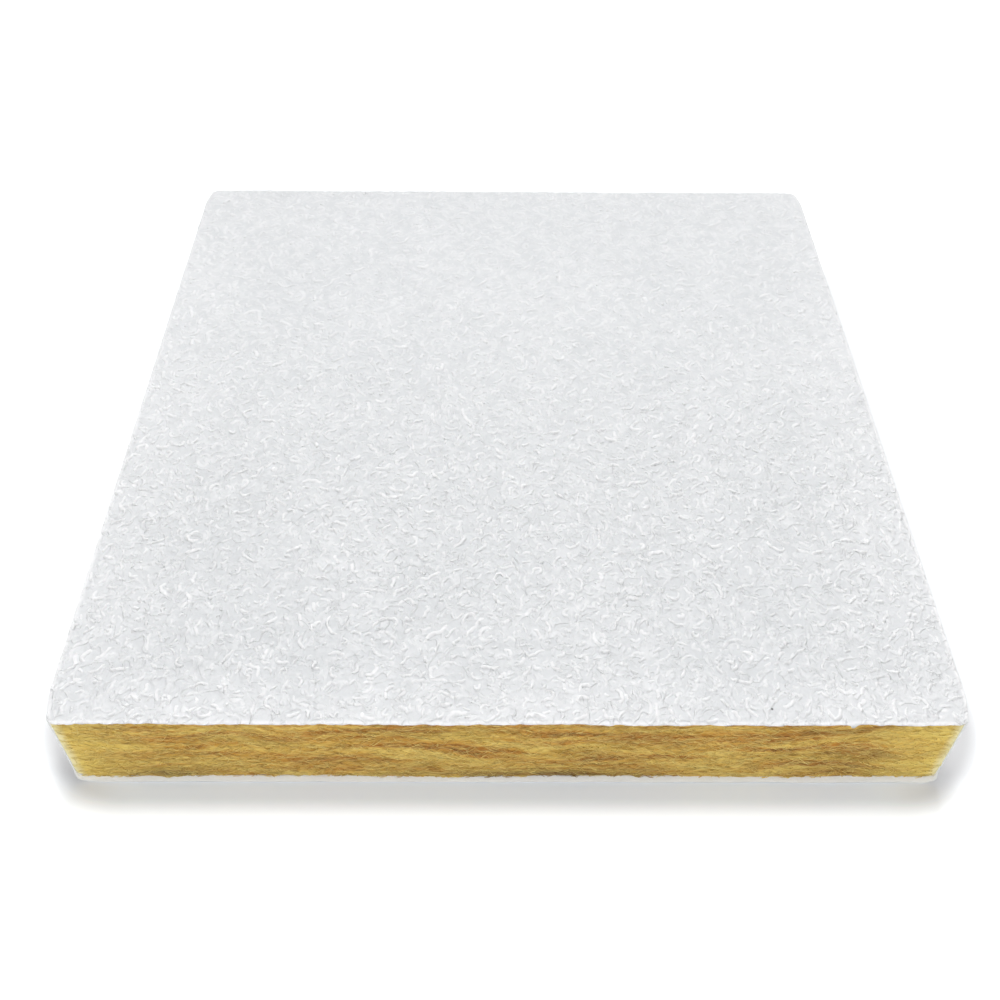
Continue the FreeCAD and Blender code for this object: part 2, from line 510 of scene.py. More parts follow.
def on_film(paths):
    """Which paths stay clear of the film's sides and of its ragged ends."""
    x, y = paths[..., 0], paths[..., 1]
    ragged = ragged_edge(x, np.sign(y)) * RAGGED
    spare = np.minimum(edge_distance(x, y), film_half.y - ragged - np.abs(y))
    return spare.min(axis=1) > EDGE_SPARE


def keep_clear(groups, clearance):
    """Which ridges of the last group keep clear of all that come before them.

    Each ridge claims the square cells that it passes, on four grids half a cell apart. A
    cell goes to the first that claims it, and a ridge stays only if it gets all its own.
    """
    owner = np.concatenate(
        [np.repeat(np.arange(len(g)), g.shape[1]) + 100000 * n for n, g in enumerate(groups)]
    )
    places = np.concatenate([g.reshape(-1, 2) for g in groups])
    clear = np.ones(len(owner), bool)
    for shift in ((0, 0), (0, 1), (1, 0), (1, 1)):
        cell = np.floor((places + film_half.x) / (2 * clearance) + np.array(shift) / 2).astype(int)
        key = cell[:, 0] * 4096 + cell[:, 1]
        first = np.full(key.max() + 1, owner.max() + 1)
        np.minimum.at(first, key, owner)
        clear &= first[key] == owner
    last = groups[-1]
    return clear[-last.shape[0] * last.shape[1] :].reshape(last.shape[:2]).all(axis=1)


def ridge_family(before, rounds, tries, typical, spread_of_lengths, rings, clearance, seed):
    """Paths and lengths of ridges that fill the film between those already there."""
    random = np.random.default_rng(seed)
    family, lengths = np.empty((0, rings, 2)), np.empty(0)
    for _ in range(rounds):
        starts = random.uniform(-1, 1, (tries, 2)) * [film_half.x, film_half.y]
        length = typical * np.exp(random.normal(0, spread_of_lengths, tries))
        paths = level_paths(starts, length, rings)
        good = on_film(paths) & gentle(paths)
        paths, length = paths[good], length[good]
        clear = keep_clear([*before, family, paths], clearance)
        family = np.concatenate([family, paths[clear]])
        lengths = np.concatenate([lengths, length[clear]])
    return family, lengths


long_paths, long_lengths = ridge_family(
    [], rounds=12, tries=5000, typical=7.6 * MM, spread_of_lengths=0.34,
    rings=10, clearance=0.95 * MM, seed=61,
)
short_paths, short_lengths = ridge_family(
    [long_paths], rounds=12, tries=7000, typical=3.4 * MM, spread_of_lengths=0.3,
    rings=6, clearance=0.6 * MM, seed=62,
)
for kind, lengths in (("long", long_lengths), ("short", short_lengths)):
    print(len(lengths), kind, "ridges, mean length, mm:", round(float(lengths.mean()) / MM, 2))

# %% Ridges as rods
SECTION_SIDE = np.array([-1.0, -0.42, 0.42, 1.0])
SECTION_RISE = np.array([0.0, 1.0, 1.0, 0.0])
RIDGE_SINK = 0.06 * MM
LONG_HALF_WIDTH, SHORT_HALF_WIDTH, USUAL_HALF_WIDTH = 0.80, 0.60, 0.70
LEAST_RISE, MORE_RISE = 0.28, 0.34
BROADER = 0.4
CREST_HIGHLIGHT_BASE, CREST_HIGHLIGHT_RISE = 0.35, 0.5 * MM
RIDGE_CREASE = 70


def ridge_points(paths, half_widths, rises):
    """Rings across each path: a low hump over the width that sinks away at both ends.

    Widths and rises hold one number for each ring, which makes the ridges knobbly.
    """
    ahead = np.gradient(paths, axis=1)
    ahead = ahead / np.linalg.norm(ahead, axis=-1, keepdims=True)
    aside = np.stack([-ahead[..., 1], ahead[..., 0]], -1)
    middle = np.linspace(-1, 1, paths.shape[1])
    reach = half_widths[..., None] * np.sqrt(1 - 0.9 * middle**4)[:, None] * SECTION_SIDE
    flat = paths[:, :, None, :] + aside[:, :, None, :] * reach[..., None]
    rise = rises[..., None] * (1 - middle**4)[:, None] * SECTION_RISE - RIDGE_SINK
    x, y = flat[..., 0], flat[..., 1]
    height = sheet_top + sheet_wave(x, y) - rim_roll(x, y) + rise
    return np.concatenate([flat, height[..., None]], -1)


ridge_random = np.random.default_rng(6)
ridge_pieces = []
for name, paths, breadth in (
    ("ridges_long", long_paths, LONG_HALF_WIDTH),
    ("ridges_short", short_paths, SHORT_HALF_WIDTH),
):
    knobs = ridge_random.uniform(0.82, 1.18, paths.shape[:2])
    half_widths = breadth * ridge_random.uniform(0.75, 1.25, (len(paths), 1)) * knobs * MM
    lumps = ridge_random.uniform(0.7, 1.2, paths.shape[:2])
    rises = LEAST_RISE + MORE_RISE * ridge_random.random((len(paths), 1))
    rises = rises * breadth / USUAL_HALF_WIDTH * lumps * MM
    rises = rises * emboss_depth(paths[..., 1])
    half_widths = half_widths * (1 + BROADER * toward_back(paths[..., 1]))
    ridges = ridge_points(paths, half_widths, rises)
    # Painted highlight: each ridge is painted whiter towards its top, more so on higher ridges.
    crest_highlight = SECTION_RISE * (CREST_HIGHLIGHT_BASE + rises / CREST_HIGHLIGHT_RISE)[..., None]
    faces = rod_faces(len(paths), paths.shape[1], len(SECTION_SIDE))
    ridge_pieces.append(add_piece(name, ridges, faces, {"crest_highlight": crest_highlight}, crease=RIDGE_CREASE))

# %% [markdown]
# ## Finish of the film
# The film is a cool off-white with hardly any sheen. Between the ridges the emboss goes on
# at a smaller scale, too fine for geometry: short wrinkles and a leathery grain. Wrinkles
# are where a noise crosses its middle value, so the relief is worked out from the distance
# to that value. The ridge crests, the wrinkle lines and the cut rim are painted whiter, a
# painted highlight where they would catch the light, and the film close to the front and side
# edges is painted lighter, painted light. Towards the back that whitening is painted greyer,
# painted shade, and the fine relief fades and a faint mottle takes its place. One dark speck
# of dirt lies near the front edge.

# %% Small relief of the film
stucco, entry, leave = new_group(
    "stucco_relief",
    [("Place", "NodeSocketVector")],
    [("Height", "NodeSocketFloat"), ("Wrinkles", "NodeSocketFloat")],
)
place = entry.outputs["Place"]


def wrinkles(tree, vector, width):
    """1 along the lines where a noise crosses one half, falling to 0 at a given width."""
    crooked = noise(tree, vector, 2.0, 0.5, 0.7)
    away = calculate(tree, "ABSOLUTE", calculate(tree, "SUBTRACT", crooked, 0.5), 0.0)
    return spread(tree, away, width, 0.0, soft=True)


GRAIN_SHARE = 3.2
coarse = wrinkles(stucco, stretch(stucco, place, (150, 150, 150)), 0.085)
close = wrinkles(stucco, stretch(stucco, place, (250, 250, 250)), 0.10)
broken = spread(stucco, noise(stucco, stretch(stucco, place, (130, 130, 130)), 2.0), 0.40, 0.56)
coarse = calculate(stucco, "MULTIPLY", coarse, broken)
close = calculate(stucco, "MULTIPLY", close, calculate(stucco, "SUBTRACT", 1.0, broken))
both = calculate(stucco, "MAXIMUM", coarse, close)
grain = noise(stucco, stretch(stucco, place, (330, 330, 330)), 2.0, 0.4)
height = add_share(stucco, both, grain, GRAIN_SHARE, clamp=False)
wire(stucco, height, leave, "Height")
wire(stucco, both, leave, "Wrinkles")

# %% Film tone
CREST_HIGHLIGHT_SHARE, WRINKLE_HIGHLIGHT_SHARE, CLOUD_SHARE, EDGE_LIGHT_SHARE = 0.5, 0.3, 0.10, 0.2
MOTTLE_SHARE, MOTTLE_MORE = 0.08, 0.22
BACK_SHADE, RELIEF_FADE = 0.4, 0.9

film_finish, tree, shader = new_finish("embossed_film", 0.65)
shader.inputs["Specular IOR Level"].default_value = 0.15
place = object_coordinates(tree)
relief = put(tree, "ShaderNodeGroup", node_tree=stucco)
wire(tree, place, relief, "Place")
split = put(tree, "ShaderNodeSeparateXYZ")
wire(tree, place, split, 0)
backward = spread(tree, split.outputs["Y"], -0.5 * film_half.y, 0.8 * film_half.y, soft=True)
cloud = spread(tree, noise(tree, stretch(tree, place, (22, 22, 22))), 0.35, 0.65)
mottle = spread(tree, noise(tree, stretch(tree, place, (170, 170, 170)), 1.0), 0.36, 0.66)
# Painted highlight: ridge crests and the cut rim are painted whiter.
painted_highlight = calculate(tree, "MULTIPLY", read_mark(tree, "crest_highlight"), CREST_HIGHLIGHT_SHARE)
painted_highlight = calculate(tree, "MAXIMUM", painted_highlight, read_mark(tree, "rim"))
# Painted highlight: the wrinkle lines are painted whiter too.
wrinkle_highlight = calculate(tree, "MULTIPLY", relief.outputs["Wrinkles"], WRINKLE_HIGHLIGHT_SHARE)
painted_highlight = calculate(tree, "MAXIMUM", painted_highlight, wrinkle_highlight)
tone = add_share(tree, painted_highlight, cloud, CLOUD_SHARE)
mottled = calculate(tree, "ADD", calculate(tree, "MULTIPLY", backward, MOTTLE_MORE), MOTTLE_SHARE)
tone = add_share(tree, tone, mottle, mottled)
# Painted light: the film is painted lighter over its last stretch to the front edge and to both
# sides.
edge_light = spread(tree, split.outputs["Y"], -0.84 * film_half.y, -0.97 * film_half.y)
aside = calculate(tree, "ABSOLUTE", split.outputs["X"], 0.0)
side_light = spread(tree, aside, 0.75 * film_half.x, film_half.x)
edge_light = calculate(tree, "MAXIMUM", edge_light, side_light)
tone = add_share(tree, tone, edge_light, EDGE_LIGHT_SHARE)
# Painted shade: towards the back the film's whitening is painted greyer.
tone = calculate(tree, "MULTIPLY", tone, less_share(tree, backward, BACK_SHADE))

# %% Film finish
FILM_GREY = seen(218, 220, 222)
FILM_WHITE = seen(250, 250, 251)
SPECK_GREY = seen(110, 110, 112)
SPECK_PLACE = (85.5 * MM, -144 * MM, sheet_top)
SPECK_EDGE, SPECK_CORE = 0.50 * MM, 0.30 * MM
RELIEF_DEPTH = 0.30 * MM

speck = put(tree, "ShaderNodeVectorMath", operation="DISTANCE")
wire(tree, place, speck, 0)
speck.inputs[1].default_value = SPECK_PLACE
speck = spread(tree, speck.outputs["Value"], SPECK_EDGE, SPECK_CORE)
colour = blend_colours(tree, tone, FILM_GREY, FILM_WHITE)
wire(tree, blend_colours(tree, speck, colour, SPECK_GREY), shader, "Base Color")
depth = less_share(tree, backward, RELIEF_FADE)
height = calculate(tree, "MULTIPLY", relief.outputs["Height"], depth)
add_bump(tree, shader, height, RELIEF_DEPTH)
tell(film_finish)

for piece in (film_sheet, *ridge_pieces):
    piece.data.materials.append(film_finish)
    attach(piece, "root")
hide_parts("face_film")

# %% [markdown]
# ## Backing tissue
# A thin white glass tissue lies under the board, goes round its two lower edges and up both
# long sides. It is one sheet bent to a U, so it is made the way it is folded: a profile of
# straight runs and two quarter turns, carried along the tile. Its cut ends are a little
# wavy, its sides ripple faintly, and under the board each end swells to a small bead, the
# white lip that shows below the wool.

# %% Backing tissue surface
TISSUE_SKIN = 0.6 * MM
TISSUE_BEND = 4.7 * MM
TISSUE_RAGGED = 0.5 * MM
LIP_LENGTH = 1.8 * MM
LIP_BEAD = 1.3 * MM
TISSUE_RIPPLE = 0.35 * MM
tissue_half = (tissue_high - tissue_low) / 2


def fold_profile(inset, run_points, base_points, bend_points):
    """Points along the U, set in from its outside.

    The outside goes down the left side, round the first bend, along the base, round the
    second bend and up the right side.
    """
    half, low, top = tissue_half.x, tissue_low.z, tissue_high.z
    down = np.linspace(top, low + TISSUE_BEND, run_points)
    turn = np.linspace(math.pi, 1.5 * math.pi, bend_points)[1:-1]
    across = np.linspace(-half + TISSUE_BEND, half - TISSUE_BEND, base_points)
    left = np.stack([np.full_like(down, -half + inset), down], -1)
    radius = TISSUE_BEND - inset
    bend = np.stack([np.cos(turn), np.sin(turn)], -1) * radius
    bend = bend + [-half + TISSUE_BEND, low + TISSUE_BEND]
    base = np.stack([across, np.full_like(across, low + inset)], -1)
    mirror = np.array([-1, 1])
    return np.concatenate([left, bend, base, bend[::-1] * mirror, left[::-1] * mirror])


# %% Backing tissue mesh
FOLD_COUNTS = (16, 70, 9)
outside = fold_profile(0.0, *FOLD_COUNTS)
inside = fold_profile(TISSUE_SKIN, *FOLD_COUNTS)
end_steps = np.array([0, 0.3, 0.9, 1.4, 1.8, 2.1, 2.5, 3.0, 4.5]) * MM
tissue_y = grid_lines(tissue_half.y, end_steps, 46)
walk = np.cumsum(np.linalg.norm(np.diff(outside, axis=0, prepend=outside[:1]), axis=-1))[:, None]
near_end = ramp(np.abs(tissue_y), tissue_half.y - 5 * MM, tissue_half.y)
ragged = layered_noise(walk / (8 * MM), np.sign(tissue_y)[None, :] * 5.0, 31, 4)
up_the_side = ramp(outside[:, 1:], 1.5 * MM, 6 * MM)
cut_back = up_the_side * (LIP_LENGTH - 0.25 * MM) + (1 - 0.6 * up_the_side) * ragged * TISSUE_RAGGED
wavy_y = tissue_y - np.sign(tissue_y) * near_end * cut_back
lip = (np.abs(tissue_y) - (tissue_half.y - LIP_LENGTH)) / LIP_LENGTH
bead = LIP_BEAD * np.where(lip < 0, 1 - ramp(-lip, 0.0, 0.6), 1 - 0.85 * np.clip(lip, 0, 1))
bead = bead * (1 - up_the_side)
inward = np.gradient(outside, axis=0)
inward = inward[:, ::-1] * [-1, 1] / np.linalg.norm(inward, axis=1, keepdims=True)
side = (np.abs(outside[:, 0]) > tissue_half.x - 0.1 * MM)[:, None]
ripple = layered_noise(walk / (14 * MM), tissue_y / (26 * MM), 35, 3) * side * TISSUE_RIPPLE
tissue_layers = []
for profile, swell in ((inside, bead), (outside, 0 * bead)):
    x = profile[:, :1] - np.sign(profile[:, :1]) * ripple + inward[:, :1] * swell
    z = profile[:, 1:] + inward[:, 1:] * swell
    tissue_layers.append(np.stack([x, wavy_y, z], -1).reshape(-1, 3))
tissue_wrap = add_piece(
    "tissue_wrap", np.concatenate(tissue_layers), sheet_faces(*wavy_y.shape)
)

# %% [markdown]
# ## Finish of the tissue
# Glass tissue is a paper-like mat of chopped fibres with a chalky binder. Three noises, each
# drawn out along another direction, give the criss-cross of its fibres in tone and in bump.

# %% Tissue finish
TISSUE_GREY = seen(246, 247, 244)
TISSUE_WHITE = seen(252, 253, 253)

tissue_finish, tree, shader = new_finish("glass_tissue", 0.9)
place = object_coordinates(tree)
strokes = noise(tree, stretch(tree, place, (300, 1400, 1400)), 3.0)
for turned, scale in ((0.9, (1400, 260, 500)), (-0.7, (900, 500, 260))):
    more = noise(tree, stretch(tree, place, scale, turned), 3.0)
    strokes = calculate(tree, "MAXIMUM", strokes, more)
fleck = spread(tree, strokes, 0.42, 0.78)
wire(tree, blend_colours(tree, fleck, TISSUE_GREY, TISSUE_WHITE), shader, "Base Color")
add_bump(tree, shader, strokes, 0.4 * MM, 0.5)
tell(tissue_finish)

tissue_wrap.data.materials.append(tissue_finish)
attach(tissue_wrap, "root")
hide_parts("back_tissue")

# %% [markdown]
# ## Wool board
# The board is laid up in wavy layers, and the saw leaves its two ends rough: layers stand
# out or fall back by half a millimetre, less so near the long sides. Only those two ends
# show. So the board is one closed block whose front and back are height fields, and whose
# hidden sides are plain.

# %% Wool board surface
WOOL_BEND = 4.0 * MM
wool_half = (wool_high - wool_low) / 2
WOOL_COLUMNS, WOOL_ROWS = 360, 78
WOOL_PROUD = 0.1 * MM
FRONT, REAR = -1, 1
END_SEEDS = {FRONT: 100, REAR: 200}


def layer_height(x, z, seed):
    """Height above the base, bent so that lines of equal value are wavy layers."""
    bend = layered_noise(x / (46 * MM), z / (30 * MM), seed, 3) - 0.5
    return z + bend * 9 * MM


def end_relief(x, z, seed):
    """How far the sawn end stands out, in metres: broad layers, thin layers, tufts."""
    bent = layer_height(x, z, seed)
    broad = layered_noise(x / (40 * MM), bent / (5.5 * MM), seed + 10, 2) - 0.5
    thin = layered_noise(x / (9 * MM), bent / (1.3 * MM), seed + 20, 3) - 0.5
    tuft = layered_noise(x / (2.4 * MM), bent / (0.9 * MM), seed + 30, 2) - 0.5
    calm = 0.2 + 0.8 * ramp(wool_half.x - np.abs(x), 1 * MM, 24 * MM)
    return calm * (1.3 * broad + 1.0 * thin + 0.5 * tuft) * MM


# %% Wool board mesh
along = np.linspace(-1, 1, WOOL_COLUMNS)[:, None]
level = np.linspace(0, 1, WOOL_ROWS)[None, :]
end_z = wool_low.z + (wool_high.z - wool_low.z) * level
below = np.clip(wool_low.z + WOOL_BEND - end_z, 0, WOOL_BEND)
end_x = along * (wool_half.x - WOOL_BEND + np.sqrt(WOOL_BEND**2 - below**2))
end_z = np.broadcast_to(end_z, end_x.shape)
edge = np.minimum(wool_half.x - np.abs(end_x), np.minimum(end_z - wool_low.z, wool_high.z - end_z))
hold = ramp(edge, 0.0, 0.8 * MM)
ends, hollow_shades = [], []
for way, seed in END_SEEDS.items():
    relief = end_relief(end_x, end_z, seed)
    end_y = way * (wool_half.y + relief * hold + WOOL_PROUD)
    ends.append(np.stack([end_x, end_y, end_z], -1).reshape(-1, 3))
    # The hollow marks are for painted shade: the finish paints the wool darker where the end falls
    # back.
    hollow_shades.append(ramp(-relief, 0.05 * MM, 0.75 * MM).ravel())
wool_board = add_piece(
    "wool_board",
    np.concatenate(ends),
    sheet_faces(*end_x.shape),
    {"hollow_shade": np.concatenate(hollow_shades)},
)

# %% [markdown]
# ## Loose strands
# Up close the sawn ends are a tangle of fibres. Real fibres are far too fine to model, but
# the photo shows bundles of them as pale lines a few millimetres long, mostly along the
# layers and some across. Each is a thin three-sided rod that bows out of the end and has
# its tips buried in it.

# %% Strands
STRANDS_FRONT = 7000
STRANDS_REAR = 4500
STRAND_RINGS, STRAND_SIDES = 4, 3
TYPICAL_STRAND = 3.8
STEEP_SHARE = 0.12


def strand_rings(way, n, seed):
    """Rings of n thin rods on one end, FRONT or REAR, and a random tint for each rod."""
    random = np.random.default_rng(seed)
    middle_x = random.uniform(-0.995, 0.995, n) * wool_half.x
    middle_z = random.uniform(0.02, 0.98, n) * (wool_high.z - wool_low.z) + wool_low.z
    length = np.clip(random.lognormal(math.log(TYPICAL_STRAND), 0.45, n), 1.2, 11) * MM
    climb = random.normal(0, 0.36, n)
    steep = random.random(n) < STEEP_SHARE
    climb = climb + np.where(steep, random.normal(0, 0.7, n), 0)
    bow = random.normal(0, 0.10, n)[:, None]
    t = np.linspace(-0.5, 0.5, STRAND_RINGS)[None, :]
    x = middle_x[:, None] + length[:, None] * t * np.cos(climb)[:, None]
    z = middle_z[:, None] + length[:, None] * (t * np.sin(climb)[:, None] + bow * (t**2 - 0.1))
    z = np.clip(z, wool_low.z + 0.3 * MM, wool_high.z - 0.1 * MM)
    low_corner = np.clip(wool_low.z + WOOL_BEND - z, 0, WOOL_BEND)
    limit = wool_half.x - WOOL_BEND + np.sqrt(WOOL_BEND**2 - low_corner**2) - 0.2 * MM
    x = np.clip(x, -limit, limit)
    surface = end_relief(x, z, END_SEEDS[way]) + wool_half.y + WOOL_PROUD
    proud = random.uniform(0.02, 0.5, n)[:, None] ** 1.5 * MM * 1.6
    y = way * (surface + proud * (1 - (2 * t) ** 2) - 0.12 * MM * (2 * t) ** 2)
    centre = np.stack([x, y, z], -1)
    ahead = np.gradient(centre, axis=1)
    ahead = ahead / np.maximum(np.linalg.norm(ahead, axis=-1, keepdims=True), 1e-9)
    across = np.cross(ahead, np.array([0.0, 1.0, 0.0]))
    across = across / np.maximum(np.linalg.norm(across, axis=-1, keepdims=True), 1e-9)
    up = np.cross(ahead, across)
    radius = (random.uniform(0.07, 0.18, n)[:, None] * (1 - 0.75 * (2 * t) ** 2) * MM)[..., None]
    rings = [
        centre + radius * (math.cos(a) * across + math.sin(a) * up)
        for a in (0.0, -2 * math.pi / 3, -4 * math.pi / 3)
    ]
    tint = np.broadcast_to(random.random(n)[:, None, None], (n, STRAND_RINGS, STRAND_SIDES))
    return np.stack(rings, axis=2), tint


strand_pieces = []
for name, way, count, seed in (
    ("strands_front", FRONT, STRANDS_FRONT, 41),
    ("strands_rear", REAR, STRANDS_REAR, 42),
):
    rings, tint = strand_rings(way, count, seed)
    faces = rod_faces(count, STRAND_RINGS, STRAND_SIDES)
    strand_pieces.append(add_piece(name, rings, faces, {"tint": tint}))

# %% [markdown]
# ## Finish of the wool
# The resin gives the glass its colours, from straw through ochre to a burnt brown, in wavy
# bands a few millimetres high. The lower half is duller, dark stains lie low down, and the
# two sides pale to lemon with a cream rim. The same pattern colours the board and its
# strands, so it is a node group that both finishes use: it puts out the layer colour, and
# the finishes add what is their own. The bands are one noise, squeezed in height and lifted
# here and there by a slower one, and three finer noises draw the fibres along and across.

# %% Wool colours
STRAW = seen(252, 232, 142)
GOLD = seen(238, 199, 95)
AMBER = seen(206, 142, 52)
OLIVE = seen(214, 187, 90)
BURNT = seen(142, 94, 36)
LEMON = seen(250, 224, 120)
SOOT = seen(118, 92, 58)
CREAM = seen(254, 248, 205)
MOSS = seen(168, 152, 92)

# %% Wavy bands
WANDER = 0.028
wool_layers, entry, leave = new_group(
    "wool_layers",
    [("Place", "NodeSocketVector")],
    [("Colour", "NodeSocketColor"), ("Fibres", "NodeSocketFloat"), ("Side", "NodeSocketFloat")],
)
place = entry.outputs["Place"]
parts = put(wool_layers, "ShaderNodeSeparateXYZ")
wire(wool_layers, place, parts, 0)
height = parts.outputs["Z"]
slow = noise(wool_layers, stretch(wool_layers, place, (16, 16, 25)), 2.0)
wander = calculate(wool_layers, "SUBTRACT", slow, 0.5)
lifted = add_share(wool_layers, height, wander, WANDER, clamp=False)
bent = put(wool_layers, "ShaderNodeCombineXYZ")
wire(wool_layers, parts.outputs["X"], bent, "X")
wire(wool_layers, parts.outputs["Y"], bent, "Y")
wire(wool_layers, lifted, bent, "Z")
bent = bent.outputs["Vector"]
bands = noise(wool_layers, stretch(wool_layers, bent, (19, 19, 210)), 3.0, 0.55)
fine = noise(wool_layers, stretch(wool_layers, bent, (110, 300, 850)), 3.0, 0.6)
slant = noise(wool_layers, stretch(wool_layers, bent, (190, 300, 1500), 0.5), 2.0, 0.55)
counter = noise(wool_layers, stretch(wool_layers, bent, (190, 300, 1400), -0.6), 2.0, 0.55)
warm = spread(wool_layers, bands, 0.40, 0.58)
colour = blend_colours(wool_layers, warm, GOLD, AMBER)
dull = noise(wool_layers, stretch(wool_layers, bent, (20, 20, 140)), 2.0)
colour = mix_in(wool_layers, colour, OLIVE, spread(wool_layers, dull, 0.5, 0.66), 0.6)
colour = mix_in(wool_layers, colour, BURNT, spread(wool_layers, bands, 0.54, 0.70), 0.8)
colour = mix_in(wool_layers, colour, STRAW, spread(wool_layers, bands, 0.46, 0.34), 0.35)

# %% Fibres, sides and stains
STROKE_SHARES = ((fine, 0.45), (slant, 0.32), (counter, 0.26))
LOWER_SHARE, SIDE_SHARE, RIM_SHARE, STAIN_SHARE = 0.22, 0.75, 0.8, 0.7

for strokes, share in STROKE_SHARES:
    colour = mix_in(wool_layers, colour, STRAW, spread(wool_layers, strokes, 0.52, 0.70), share)
    colour = mix_in(wool_layers, colour, BURNT, spread(wool_layers, strokes, 0.47, 0.30), share)
lower_half = spread(wool_layers, height, wool_low.z + 20 * MM, wool_low.z + 1 * MM)
colour = mix_in(wool_layers, colour, MOSS, lower_half, LOWER_SHARE)
from_middle = calculate(wool_layers, "ABSOLUTE", parts.outputs["X"], 0.0)
toward_side = spread(wool_layers, from_middle, wool_half.x - 30 * MM, wool_half.x - 3 * MM)
colour = mix_in(wool_layers, colour, LEMON, toward_side, SIDE_SHARE)
rim_line = spread(wool_layers, from_middle, wool_half.x - 3.5 * MM, wool_half.x - 0.5 * MM)
colour = mix_in(wool_layers, colour, CREAM, rim_line, RIM_SHARE)
low_down = spread(wool_layers, height, wool_low.z + 7 * MM, wool_low.z + 1.5 * MM)
patch = noise(wool_layers, stretch(wool_layers, place, (24, 24, 90)), 3.0)
stained = calculate(wool_layers, "MULTIPLY", low_down, spread(wool_layers, patch, 0.50, 0.62))
colour = mix_in(wool_layers, colour, SOOT, stained, STAIN_SHARE)
crossing = calculate(wool_layers, "ADD", slant, counter)
half_fine = calculate(wool_layers, "MULTIPLY", fine, 0.5)
fibres = add_share(wool_layers, half_fine, crossing, 0.25, clamp=False)
wire(wool_layers, colour, leave, "Colour")
wire(wool_layers, fibres, leave, "Fibres")
wire(wool_layers, toward_side, leave, "Side")

# %% Wool finish
HOLLOW_SHADE_SHARE, CALM_SHARE, SHADOW_SHARE = 0.45, 0.95, 0.4
SAWN_DEPTH, SAWN_STRENGTH = 1.2 * MM, 0.35

wool_finish, tree, shader = new_finish("sawn_glass_wool", 0.85)
place = object_coordinates(tree)
layers = put(tree, "ShaderNodeGroup", node_tree=wool_layers)
wire(tree, place, layers, "Place")
split = put(tree, "ShaderNodeSeparateXYZ")
wire(tree, place, split, 0)
# Painted shade: the wool is painted towards burnt brown where the sawn end falls back, less so near
# the sides.
hollow_shade = calculate(tree, "MULTIPLY", read_mark(tree, "hollow_shade"), HOLLOW_SHADE_SHARE)
calm = less_share(tree, layers.outputs["Side"], CALM_SHARE)
hollow_shade = calculate(tree, "MULTIPLY", hollow_shade, calm)
colour = blend_colours(tree, hollow_shade, layers.outputs["Colour"], BURNT)
# A darker band at the top of the sawn end: partly the wool's own darker colour, partly painted
# shadow under the film's overhang.
under_film_shadow = spread(tree, split.outputs["Z"], wool_high.z - 2.5 * MM, wool_high.z - 0.5 * MM)
colour = mix_in(tree, colour, BURNT, under_film_shadow, SHADOW_SHARE)
wire(tree, colour, shader, "Base Color")
add_bump(tree, shader, layers.outputs["Fibres"], SAWN_DEPTH, SAWN_STRENGTH)
tell(wool_finish)

# %% Strand finish
BRIGHT_SHARE = 0.8

strand_finish, tree, shader = new_finish("glass_strands", 0.5)
layers = put(tree, "ShaderNodeGroup", node_tree=wool_layers)
wire(tree, object_coordinates(tree), layers, "Place")
bright = spread(tree, read_mark(tree, "tint"), 0.35, 1.0)
colour = mix_in(tree, layers.outputs["Colour"], STRAW, bright, BRIGHT_SHARE)
wire(tree, colour, shader, "Base Color")
tell(strand_finish)

wool_board.data.materials.append(wool_finish)
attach(wool_board, "root")
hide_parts("wool_core")
for piece in strand_pieces:
    piece.data.materials.append(strand_finish)
    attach(piece, "root")

# %% [markdown]
# ## Floor and light
# The tile lies on a white ground with a soft shadow in front and at both sides. The ground
# looks white to the camera because its finish adds a glow for camera rays only. Close to the
# tile the shadow is partly painted: there the glow is weaker and, for camera rays, the
# ground is painted a darker, faintly tinted tone. The ground still takes the real shadow and
# gives plain light back to the tile. A lamp almost overhead makes the real shadow, a lower
# one behind the tile rakes over the ridges, three more lift the sawn end and the white lip
# below it, and an even sky fills the rest.

# %% Ground
GROUND_REACH = 4.0
GROUND_GAP = 0.05 * MM

ground_mesh = bpy.data.meshes.new("ground")
corners = np.array([[-1, -1, 0], [1, -1, 0], [1, 1, 0], [-1, 1, 0]]) * GROUND_REACH
corners[:, 2] = cad_low.z - GROUND_GAP
ground_mesh.from_pydata(corners, [], [(0, 1, 2, 3)])
ground = bpy.data.objects.new("ground", ground_mesh)
bpy.context.scene.collection.objects.link(ground)


def seen_directly(tree):
    """1 on rays from the camera and on their mirror and see-through rays, else 0."""
    rays = tree.nodes.new("ShaderNodeLightPath").outputs
    direct = calculate(tree, "MAXIMUM", rays["Is Camera Ray"], rays["Is Glossy Ray"])
    return calculate(tree, "MAXIMUM", direct, rays["Is Transmission Ray"])


# %% Ground finish
GROUND_TONE = (0.86, 0.86, 0.86)
SHADE_TONE = (0.82, 0.89, 0.97)
SIDE_SHADOW_TONE = (0.66, 0.66, 0.67)
GLOW_NEAR, GLOW_FAR, GLOW_FULL = (0.08, 0.08, 0.08), (0.52, 0.55, 0.57), (1.0, 1.0, 1.0)
SHADE_SIDE, SHADE_FRONT, SHADE_CORNER, SHADE_FADE = 12.5 * MM, 4.5 * MM, 32 * MM, 12 * MM
SHADE_SHIFT = 1.6 * MM

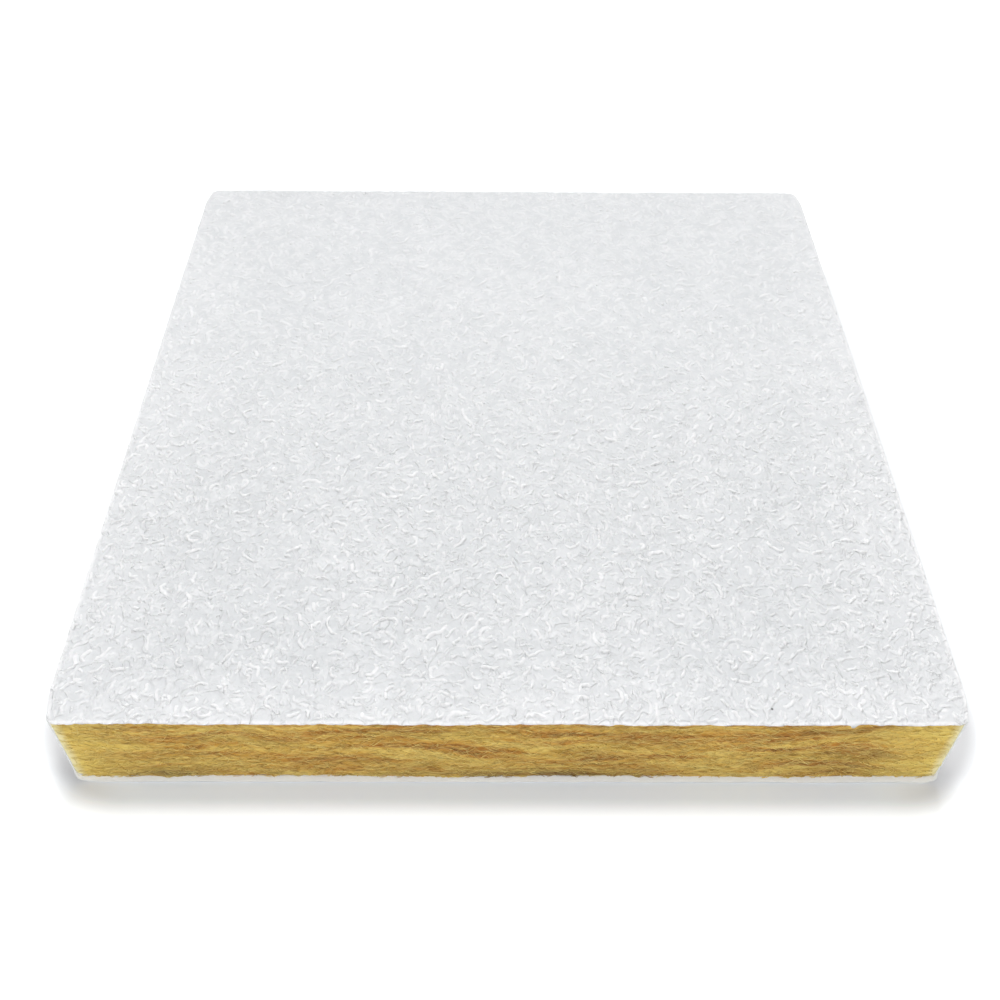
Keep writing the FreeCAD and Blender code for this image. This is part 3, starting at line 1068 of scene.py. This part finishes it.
ground_finish, tree, shader = new_finish("white_ground", 0.9)
shader.inputs["Specular IOR Level"].default_value = 0.0
split = put(tree, "ShaderNodeSeparateXYZ")
wire(tree, object_coordinates(tree), split, 0)
reach_squared = 0.0
for letter, side, near, shift in (
    ("X", cad_high.x, SHADE_SIDE, SHADE_SHIFT),
    ("Y", cad_high.y, SHADE_FRONT, 0.0),
):
    past = calculate(tree, "SUBTRACT", split.outputs[letter], shift)
    past = calculate(tree, "ABSOLUTE", past, 0.0)
    past = calculate(tree, "SUBTRACT", past, side + near - SHADE_CORNER)
    past = calculate(tree, "MAXIMUM", past, 0.0)
    square = calculate(tree, "MULTIPLY", past, past)
    reach_squared = calculate(tree, "ADD", square, reach_squared)
distance = calculate(tree, "SQRT", reach_squared, 0.0)
farther = spread(tree, distance, SHADE_CORNER, SHADE_CORNER + SHADE_FADE, soft=True)
# Painted shadow: close to the tile the glow for camera rays is weaker.
glow = blend_colours(tree, farther, GLOW_NEAR, GLOW_FAR)
glow = blend_colours(tree, spread(tree, distance, 0.1, 0.5), glow, GLOW_FULL)
wire(tree, glow, shader, "Emission Color")
wire(tree, seen_directly(tree), shader, "Emission Strength")
in_front = spread(tree, split.outputs["Y"], cad_low.y + 4 * MM, cad_low.y)
amid = calculate(tree, "ABSOLUTE", split.outputs["X"], 0.0)
amid = spread(tree, amid, cad_high.x + 5 * MM, cad_high.x - 25 * MM, soft=True)
# Painted shadow: close to the tile the ground is painted a darker tone for camera rays, faintly
# tinted in front.
shade = blend_colours(tree, calculate(tree, "MULTIPLY", in_front, amid), SIDE_SHADOW_TONE, SHADE_TONE)
shaded = calculate(tree, "SUBTRACT", 1.0, farther)
shaded = calculate(tree, "MULTIPLY", seen_directly(tree), shaded)
wire(tree, blend_colours(tree, shaded, GROUND_TONE, shade), shader, "Base Color")
ground_mesh.materials.append(ground_finish)

# %% Sky
SKY = 0.175

world = bpy.data.worlds.new("even_sky")
world.use_nodes = True
bpy.context.scene.world = world
tree = world.node_tree
sky = tree.nodes["Background"]
sky.inputs["Color"].default_value = (1, 1, 1, 1)
shown = calculate(tree, "MULTIPLY", seen_directly(tree), 1 - SKY)
wire(tree, calculate(tree, "ADD", shown, SKY), sky, "Strength")

# %% Lamps
FRONT_EDGE = Vector((0, film_low.y, film_high.z))


def add_lamp(name, elevation, azimuth, distance, size, share):
    """Disk lamp aimed at the tile's front edge, which it lights as brightly from above as
    a white sky of strength share would. Azimuth 0 is behind the tile."""
    data = bpy.data.lights.new(name, "AREA")
    data.shape = "DISK"
    data.size = size
    data.energy = share * math.pi**2 * distance**2 / math.sin(elevation)
    toward = Vector((
        math.sin(azimuth) * math.cos(elevation),
        math.cos(azimuth) * math.cos(elevation),
        math.sin(elevation),
    ))
    lamp = bpy.data.objects.new(name, data)
    lamp.visible_camera = False
    lamp.location = FRONT_EDGE + toward * distance
    lamp.rotation_euler = toward.to_track_quat("Z", "Y").to_euler()
    bpy.context.scene.collection.objects.link(lamp)
    print(name, round(data.energy, 2), "W")


LAMPS = [
    ("top_lamp", 77, 0, 0.85, 0.16, 0.15),
    ("rear_lamp", 38, 2, 4.0, 0.8, 0.33),
    ("left_lamp", 58, -95, 1.5, 0.4, 0.125),
    ("right_lamp", 58, 95, 1.5, 0.4, 0.125),
    ("front_lamp", 26, 186, 1.4, 0.8, 0.17),
]
for name, elevation, azimuth, distance, size, share in LAMPS:
    add_lamp(name, math.radians(elevation), math.radians(azimuth), distance, size, share)

bpy.context.scene.view_settings.view_transform = "Standard"
